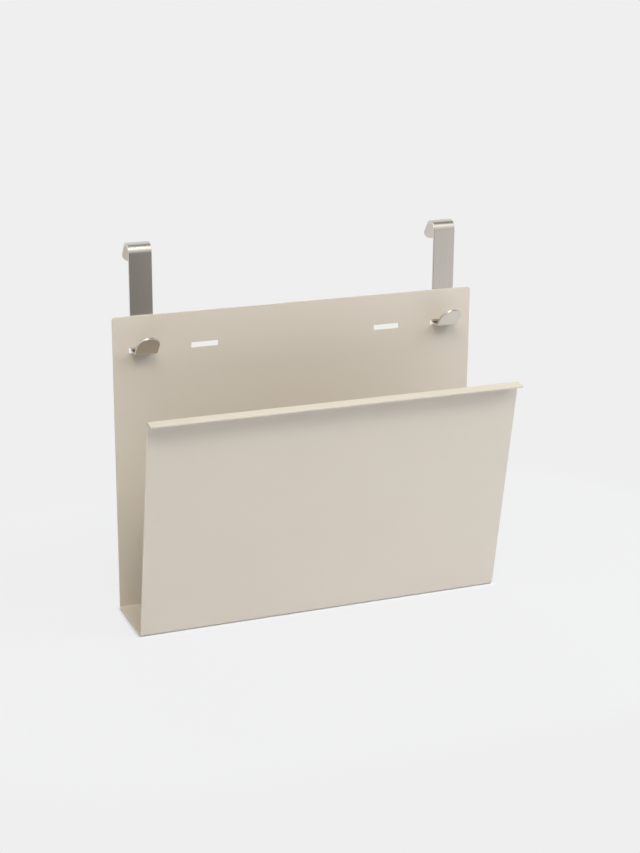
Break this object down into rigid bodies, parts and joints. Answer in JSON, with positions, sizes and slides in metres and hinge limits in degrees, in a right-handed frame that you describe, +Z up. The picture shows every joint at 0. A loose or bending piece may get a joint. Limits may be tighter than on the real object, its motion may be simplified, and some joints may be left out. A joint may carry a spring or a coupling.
{
  "type": "magazine holder",
  "caption": "Open-ended sheet metal pocket for magazines and papers with a leaning, lipped front, hung from a rail or panel edge by strap hangers that tip in its back plate.",
  "frame": {"origin": "centre of the base's flat underside: midway along the width, and midway between the back plate's back face and the front panel's foot", "axes": "+X to the right along the width, +Y to the back, from the leaning front panel to the back plate, +Z up"},
  "size_m": [0.328, 0.1351, 0.3205],
  "materials": {
    "pocket_sheet": "satin-matt beige powder coat",
    "hangers": "satin brushed"
  },
  "bodies": {
    "holder": {"pocket_sheet": "pocket_sheet"},
    "left_hanger": {"left_hanger": "hangers"},
    "right_hanger": {"right_hanger": "hangers"}
  },
  "joints": [
    {"name": "left_hanger_tip", "type": "hinge", "parent": "holder", "child": "left_hanger", "pos_m": [-0.138, 0.03045, 0.2331], "axis": [-1, 0, 0], "range_deg": [0, 56.5]},
    {"name": "right_hanger_tip", "type": "hinge", "parent": "holder", "child": "right_hanger", "pos_m": [0.138, 0.03045, 0.2331], "axis": [-1, 0, 0], "range_deg": [0, 56.5]}
  ]
}
